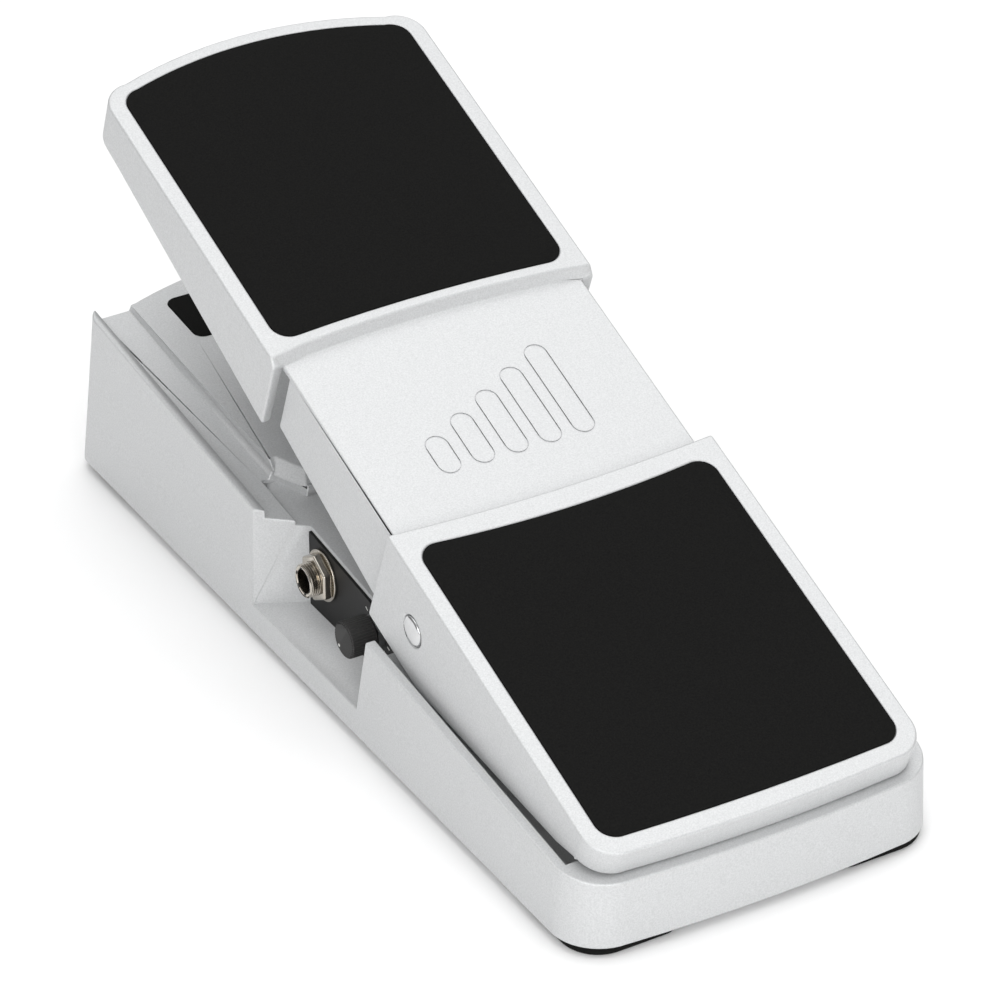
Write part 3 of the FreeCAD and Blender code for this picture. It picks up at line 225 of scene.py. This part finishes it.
bm = bmesh.new()
for number in range(BARS):
    across = (number - (BARS - 1) / 2) * BAR_PITCH
    radius = BAR_WIDE / 2
    far = BAR_FOOT + BAR_SHORTEST + BAR_RISE * number - radius
    corners = []
    for centre, start in ((far, 0.0), (BAR_FOOT + radius, math.pi)):
        for turn in range(BAR_ARC_STEPS + 1):
            angle = start + math.pi * turn / BAR_ARC_STEPS
            corners.append(bm.verts.new((across + radius * math.cos(angle),
                                         centre + radius * math.sin(angle),
                                         MID_LEVEL - BAR_SUNK)))
    middle = bm.faces.new(corners)
    line = bmesh.ops.inset_individual(bm, faces=[middle], thickness=BAR_LINE)["faces"]
    bmesh.ops.delete(bm, geom=[middle], context="FACES_ONLY")
    raised = bmesh.ops.extrude_face_region(bm, geom=line)["geom"]
    bmesh.ops.translate(bm, vec=(0, 0, BAR_PROUD + BAR_SUNK),
                        verts=[v for v in raised if isinstance(v, bmesh.types.BMVert)])
bmesh.ops.recalc_face_normals(bm, faces=bm.faces)
top_edges = [e for e in bm.edges if e.is_manifold and e.calc_face_angle() > SHARP
             and all(v.co.z > MID_LEVEL for v in e.verts)]
break_edges(bm, top_edges, BAR_BREAK, segments=2)
bm.transform(TREADLE_PLACE)
add_piece("treadle_emblem", bm, silver, "treadle", "silver_paint")

# ---------------------------------------------------------------- treadle pads
# Two moulded rubber pads, matt black, glued into shallow seats in the treadle. Each
# has a wide, shallow slope round its top.
rubber = grain(material("black_rubber", Roughness=0.8, Specular_IOR_Level=0.05), 2500.0,
               ((0.006, 0.006, 0.006), (0.010, 0.010, 0.0095)), 0.15, 0.00003)
for node, name in (("toe_pad", "toe_rubber"), ("heel_pad", "heel_rubber")):
    add_piece(name, welded_copy(node), rubber, "treadle", "black_rubber", node)

# ---------------------------------------------------------------- base casting
# The base is a second aluminium die casting, open below, with the same silver paint.
# The heel end of its toe deck is cut back in a broad sloping facet. The long edges of
# the skirt channels were left crisp by the die.
FACET_HEEL, FACET_TOE, FACET_HALF, FACET_LOW = 31.0 * MM, 41.0 * MM, 37.9 * MM, 41.0 * MM
FACET_SLOPE, BASE_BREAK = 3.0 * MM, 0.45 * MM
CHANNEL_LONG, CHANNEL_OUT, CHANNEL_LOW = 25.0 * MM, 48.0 * MM, 30.0 * MM
bm = welded_copy("base_housing")
facet = [e for e in sharp_edges(bm) if all(
    FACET_HEEL < v.co.y < FACET_TOE and abs(v.co.x) < FACET_HALF and v.co.z > FACET_LOW
    for v in e.verts)]
break_edges(bm, facet, FACET_SLOPE, segments=1)
channel = [e for e in bm.edges if e.calc_length() > CHANNEL_LONG and all(
    abs(v.co.x) < CHANNEL_OUT and v.co.z > CHANNEL_LOW for v in e.verts)]
corners = [e for e in sharp_edges(bm, SHORTEST_EDGE) if e not in channel]
break_edges(bm, corners, BASE_BREAK)
add_piece("base_shell", bm, silver, "base", "silver_paint", "base_housing")

# ---------------------------------------------------------------- stop pad, bumpers and feet
# Moulded black rubber again: the stop pad glued to the toe deck, two round bumpers
# under the heel of the treadle, and four feet glued under the corners of the base.
SMALL_EDGE, STOP_BREAK, BUMPER_BREAK, FOOT_BREAK = 0.1 * MM, 0.5 * MM, 0.6 * MM, 0.4 * MM
moulded = [("toe_stop_pad", "toe_stop_rubber", STOP_BREAK),
           ("heel_bumpers", "heel_bumper_rubber", BUMPER_BREAK)]
moulded += [(f"foot_{end}_{side}", f"{end}_{side}_foot_rubber", FOOT_BREAK)
            for end in ("heel", "toe") for side in ("left", "right")]
for node, name, width in moulded:
    bm = welded_copy(node)
    break_edges(bm, sharp_edges(bm, SMALL_EDGE), width)
    add_piece(name, bm, rubber, "base", "black_rubber", node)

# ---------------------------------------------------------------- jack panels
# A satin black moulded panel is fixed in each side recess. The left one carries short
# white printed marks round the trim knob; they stop where the ledge comes close.
JACK_SPOT = (11.9 * MM, 24.9 * MM)
TRIM_SPOT = (-15.1 * MM, 23.9 * MM)
PANEL_FACE, PANEL_TOP = 39.0 * MM, 29.4 * MM


def finish_nodes(finish, *nodes):
    """Give plain parts that stay in view their own finish."""
    for node in nodes:
        frame["nodes"][node].material_slots[0].material = finish


def outward(side, spot):
    """Matrix that takes local +Z to the outside of a side wall, from the middle plane."""
    return Matrix.Translation((0.0, *spot)) @ Matrix.Rotation(side * math.pi / 2, 4, "Y")


satin_black = grain(material("satin_black", Roughness=0.5, Specular_IOR_Level=0.25), 1800.0,
                    ((0.008, 0.008, 0.008), (0.012, 0.012, 0.012)), 0.1, 0.00002)
finish_nodes(satin_black, "label_plate_left", "label_plate_right", "output_jack_body",
             "input_jack_body", "trim_pot_body")
printed_white = grain(material("printed_white", Roughness=0.6), 3000.0,
                      ((0.62, 0.62, 0.60), (0.70, 0.70, 0.68)), 0.05, 0.00001)
MARK_NEAR, MARK_FAR, MARK_WIDE, MARK_THICK = 5.5 * MM, 6.7 * MM, 0.35 * MM, 0.06 * MM
MARKS, MARK_START, MARK_STEP = 11, -140, 28
bm = bmesh.new()
for number in range(MARKS):
    angle = math.radians(MARK_START + MARK_STEP * number)
    if TRIM_SPOT[1] + MARK_FAR * math.cos(angle) > PANEL_TOP:
        continue
    mark = (Matrix.Rotation(angle, 4, "Z")
            @ Matrix.Translation(((MARK_NEAR + MARK_FAR) / 2, 0.0, PANEL_FACE))
            @ Matrix.Diagonal((MARK_FAR - MARK_NEAR, MARK_WIDE, MARK_THICK, 1.0)))
    bmesh.ops.create_cube(bm, size=1.0, matrix=mark)
bm.transform(outward(-1, TRIM_SPOT))
add_piece("trim_scale_marks", bm, printed_white, "base", "white_nylon")

# ---------------------------------------------------------------- jacks
# Each quarter-inch jack has a threaded bush through its panel, held by a flat washer
# and a hexagon nut. All three are turned brass with warm nickel plating.
nickel = grain(material("nickel", Metallic=1.0, Roughness=0.16), 900.0,
               ((0.52, 0.48, 0.42), (0.60, 0.56, 0.50)), 0.05, 0.00002)
THREAD_PITCH, THREAD_TURNS, THREAD_STEPS = 0.65 * MM, 8.6, 48
CREST, ROOT, THREAD_SUNK, THREAD_START = 4.4 * MM, 4.0 * MM, 0.02 * MM, 39.0 * MM
SOCKET_R, BUSH_BACK, BUSH_FRONT = 3.25 * MM, 35.2 * MM, 45.0 * MM
NUT_EDGE, NUT_BREAK, WASHER_BREAK = 1.0 * MM, 0.55 * MM, 0.2 * MM
NOTCHES, NOTCH_STEP, NOTCH_START, NOTCH_OUT = 6, 60, 15, 3.5 * MM
NOTCH_HIGH, NOTCH_SIZE = 44.72 * MM, (0.44 * MM, 1.1 * MM, 0.58 * MM)


def turned(bm, profile, steps=64):
    """Spin an open profile of (radius, height) points about local Z."""
    points = [bm.verts.new((radius, 0.0, height)) for radius, height in profile]
    edges = [bm.edges.new(pair) for pair in zip(points, points[1:])]
    bmesh.ops.spin(bm, geom=points + edges, cent=(0, 0, 0), axis=(0, 0, 1), angle=2 * math.pi,
                   steps=steps, use_merge=True, use_duplicate=False)
    bmesh.ops.remove_doubles(bm, verts=bm.verts, dist=WELD)
    bmesh.ops.recalc_face_normals(bm, faces=bm.faces)


for side, kind in ((-1, "output"), (1, "input")):
    bm = bmesh.new()
    turned(bm, [(SOCKET_R, BUSH_BACK), (SOCKET_R, 44.8 * MM), (3.5 * MM, BUSH_FRONT),
                (3.95 * MM, BUSH_FRONT), (4.2 * MM, 44.75 * MM), (4.2 * MM, 44.4 * MM),
                (ROOT, 44.3 * MM), (ROOT, BUSH_BACK), (SOCKET_R, BUSH_BACK)])
    tooth = [bm.verts.new((radius, 0.0, THREAD_START + part * THREAD_PITCH))
             for radius, part in ((ROOT - THREAD_SUNK, 0.0), (CREST, 0.4), (CREST, 0.6),
                                  (ROOT - THREAD_SUNK, 1.0))]
    ridge = [bm.edges.new(pair) for pair in zip(tooth, tooth[1:])]
    bmesh.ops.spin(
        bm, geom=tooth + ridge, cent=(0, 0, 0), axis=(0, 0, 1), angle=2 * math.pi * THREAD_TURNS,
        dvec=(0, 0, THREAD_PITCH / THREAD_STEPS), steps=int(THREAD_STEPS * THREAD_TURNS),
        use_merge=False, use_duplicate=False)
    bmesh.ops.recalc_face_normals(bm, faces=bm.faces)
    bm.transform(outward(side, JACK_SPOT))
    add_piece(f"{kind}_threaded_bush", bm, nickel, "base", "nickel", f"{kind}_jack_bush")

    bm = welded_copy(f"{kind}_jack_nut")
    break_edges(bm, sharp_edges(bm, NUT_EDGE), NUT_BREAK)
    add_piece(f"{kind}_hexagon_nut", bm, nickel, "base", "nickel", f"{kind}_jack_nut")
    bm = welded_copy(f"{kind}_jack_washer")
    break_edges(bm, sharp_edges(bm, SMALL_EDGE), WASHER_BREAK)
    add_piece(f"{kind}_flat_washer", bm, nickel, "base", "nickel", f"{kind}_jack_washer")

    # a black moulded crown shows as small notches round the mouth
    bm = bmesh.new()
    for number in range(NOTCHES):
        notch = (Matrix.Rotation(math.radians(NOTCH_STEP * number + NOTCH_START), 4, "Z")
                 @ Matrix.Translation((NOTCH_OUT, 0.0, NOTCH_HIGH))
                 @ Matrix.Diagonal((*NOTCH_SIZE, 1.0)))
        bmesh.ops.create_cube(bm, size=1.0, matrix=notch)
    bm.transform(outward(side, JACK_SPOT))
    add_piece(f"{kind}_socket_crown", bm, satin_black, "base", "black_plastic")

# ---------------------------------------------------------------- trim knob
# A small moulded knob is pressed on the trim's steel shaft. Its side is finely ribbed
# for grip, and a painted white dot on its plain face shows the setting.
KNOB_R, KNOB_NEAR, KNOB_END, KNOB_EDGE = 4.85 * MM, 41.4 * MM, 48.4 * MM, 0.4 * MM
RIBS, RIB_DEEP, RIM_STEPS = 40, 0.16 * MM, 240
DOT_R, DOT_OUT, DOT_ANGLE = 0.42 * MM, 3.5 * MM, math.radians(139)
DOT_PROUD, DOT_THICK = 0.02 * MM, 0.04 * MM
dark_grey = grain(material("dark_grey_plastic", Roughness=0.55, Specular_IOR_Level=0.3), 2200.0,
                  ((0.022, 0.022, 0.022), (0.032, 0.031, 0.030)), 0.1, 0.00002)
bm = bmesh.new()
rim = []
for number in range(RIM_STEPS):
    angle = 2 * math.pi * number / RIM_STEPS
    radius = KNOB_R - RIB_DEEP * (0.5 - 0.5 * math.cos(RIBS * angle))
    rim.append(bm.verts.new((radius * math.cos(angle), radius * math.sin(angle), KNOB_NEAR)))
blank = bm.faces.new(rim)
pulled = bmesh.ops.extrude_face_region(bm, geom=[blank], use_keep_orig=True)["geom"]
bmesh.ops.translate(bm, vec=(0, 0, KNOB_END - KNOB_NEAR - KNOB_EDGE),
                    verts=[v for v in pulled if isinstance(v, bmesh.types.BMVert)])
bmesh.ops.recalc_face_normals(bm, faces=bm.faces)
front = [f for f in pulled if isinstance(f, bmesh.types.BMFace)]
bmesh.ops.inset_individual(bm, faces=front, thickness=KNOB_EDGE, depth=KNOB_EDGE)
bm.transform(outward(-1, TRIM_SPOT))
add_piece("trim_knob_grip", bm, dark_grey, "trim", "black_plastic", "trim_knob")
bm = bmesh.new()
dot = (Matrix.Rotation(DOT_ANGLE, 4, "Z")
       @ Matrix.Translation((DOT_OUT, 0.0, KNOB_END + DOT_PROUD)))
bmesh.ops.create_cone(bm, cap_ends=True, segments=24, radius1=DOT_R, radius2=DOT_R,
                      depth=DOT_THICK, matrix=dot)
bm.transform(outward(-1, TRIM_SPOT))
add_piece("trim_knob_dot", bm, printed_white, "trim", "white_nylon")

# ---------------------------------------------------------------- pivot pin
# A turned and polished steel pin carries the treadle. Its slightly domed head lies in
# a counterbore on the left, and a matching cap closes the right-hand end.
SHAFT_R, HEAD_R, HEAD_SEAT, HEAD_TOP = 3.0 * MM, 3.95 * MM, 44.5 * MM, 46.55 * MM
polished = grain(material("polished_steel", Metallic=1.0, Roughness=0.1), 700.0,
                 ((0.60, 0.605, 0.61), (0.66, 0.665, 0.67)), 0.03, 0.00002)
pivot_spot = (PIVOT.y, PIVOT.z)
dome = [(HEAD_R, HEAD_SEAT), (HEAD_R, 45.75 * MM), (3.75 * MM, 46.05 * MM),
        (3.2 * MM, 46.3 * MM), (2.0 * MM, 46.47 * MM), (0.0, HEAD_TOP)]
bm = bmesh.new()
turned(bm, [(0.0, -HEAD_SEAT), (SHAFT_R, -HEAD_SEAT), (SHAFT_R, HEAD_SEAT)] + dome)
bm.transform(outward(-1, pivot_spot))
add_piece("pivot_pin", bm, polished, "treadle", "polished_steel", "pivot_axle")
bm = bmesh.new()
turned(bm, [(0.0, HEAD_SEAT)] + dome)
bm.transform(outward(1, pivot_spot))
add_piece("pivot_pin_cap", bm, polished, "treadle", "polished_steel", "axle_cap")

# ---------------------------------------------------------------- bottom plate and its screws
# A zinc-plated steel sheet closes the base from below. Six zinc-plated pan-head screws
# with cross recesses hold it to bosses in the casting.
zinc = grain(material("zinc_steel", Metallic=1.0, Roughness=0.38), 350.0,
             ((0.44, 0.445, 0.45), (0.52, 0.525, 0.53)), 0.1, 0.00003, detail=4.0)
finish_nodes(zinc, "bottom_plate")
SCREW_SIDE = 42.0 * MM
SCREW_SPOTS = [(side * SCREW_SIDE, along * MM)
               for along in (-98.0, 42.0, 92.0) for side in (-1, 1)]
PLATE_UNDER, SCREW_HEAD_R, HEAD_TALL, HEAD_ROUND = 2.6 * MM, 2.8 * MM, 1.2 * MM, 0.4 * MM
HEAD_SHOULDER, SCREW_R, SCREW_LONG = 0.35 * MM, 1.5 * MM, 6.0 * MM
CROSS_ARM, CROSS_HALF, CROSS_DEEP = 1.5 * MM, 0.35 * MM, 0.7 * MM

bm = bmesh.new()
for spot in SCREW_SPOTS:
    place = Matrix.Translation((*spot, PLATE_UNDER)) @ Matrix.Rotation(math.pi, 4, "X")
    head = bmesh.new()
    bmesh.ops.create_circle(head, segments=32, radius=SCREW_HEAD_R - HEAD_ROUND)
    long, short = CROSS_ARM, CROSS_HALF
    plus = [(long, -short), (long, short), (short, short), (short, long), (-short, long),
            (-short, short), (-long, short), (-long, -short), (-short, -short),
            (-short, -long), (short, -long), (short, -short)]
    inner = [head.verts.new((x, y, 0.0)) for x, y in plus]
    cross = [head.edges.new(pair) for pair in zip(inner, inner[1:] + inner[:1])]
    rim = [e for e in head.edges if e not in cross]
    bmesh.ops.triangle_fill(head, use_beauty=True, edges=rim + cross)
    well = bmesh.ops.extrude_edge_only(head, edges=cross)["geom"]
    low = [v for v in well if isinstance(v, bmesh.types.BMVert)]
    bmesh.ops.translate(head, vec=(0, 0, -CROSS_DEEP), verts=low)
    bmesh.ops.contextual_create(head, geom=[e for e in well if isinstance(e, bmesh.types.BMEdge)
                                            and all(v in low for v in e.verts)])
    for radius, height in ((SCREW_HEAD_R, -HEAD_SHOULDER), (SCREW_HEAD_R, -HEAD_TALL),
                           (SCREW_R, -HEAD_TALL), (SCREW_R, -SCREW_LONG)):
        down = bmesh.ops.extrude_edge_only(head, edges=rim)["geom"]
        ring = [v for v in down if isinstance(v, bmesh.types.BMVert)]
        rim = [e for e in down if isinstance(e, bmesh.types.BMEdge)]
        for vert in ring:
            vert.co = (*(vert.co.xy.normalized() * radius), height)
    bmesh.ops.contextual_create(head, geom=rim)
    bmesh.ops.recalc_face_normals(head, faces=head.faces)
    head.transform(place @ Matrix.Translation((0, 0, HEAD_TALL)))
    scratch = bpy.data.meshes.new("scratch")
    head.to_mesh(scratch)
    head.free()
    bm.from_mesh(scratch)
    bpy.data.meshes.remove(scratch)
add_piece("plate_cross_screws", bm, zinc, "base", "zinc_steel", "bottom_plate_screws")

# ---------------------------------------------------------------- works inside
# Under the deck: a nylon sector and pinion turn a potentiometer on a steel bracket, and
# a laminate circuit board stands on spacers. The axle runs in nylon bearings.
finish_nodes(zinc, "pot_bracket", "bracket_screws", "pot_can", "pot_bushing", "pot_nut",
             "pot_shaft", "trim_pot_nut", "trim_shaft", "board_screws", "board_standoffs",
             "sector_screws")
nylon = grain(material("white_nylon", Roughness=0.45, Subsurface_Weight=0.1), 600.0,
              ((0.70, 0.69, 0.65), (0.76, 0.75, 0.71)), 0.08, 0.00003)
finish_nodes(nylon, "sector_gear", "pinion", "pivot_bearing_left", "pivot_bearing_right",
             "friction_washer_left", "friction_washer_right")
brass = grain(material("brass_contact", Metallic=1.0, Roughness=0.3), 500.0,
              ((0.62, 0.48, 0.22), (0.72, 0.57, 0.28)), 0.05, 0.00002)
finish_nodes(brass, "output_jack_contacts", "input_jack_contacts")
laminate = grain(material("board_laminate", Roughness=0.4), 450.0,
                 ((0.03, 0.13, 0.06), (0.045, 0.17, 0.08)), 0.08, 0.00003, detail=5.0)
finish_nodes(laminate, "circuit_board")
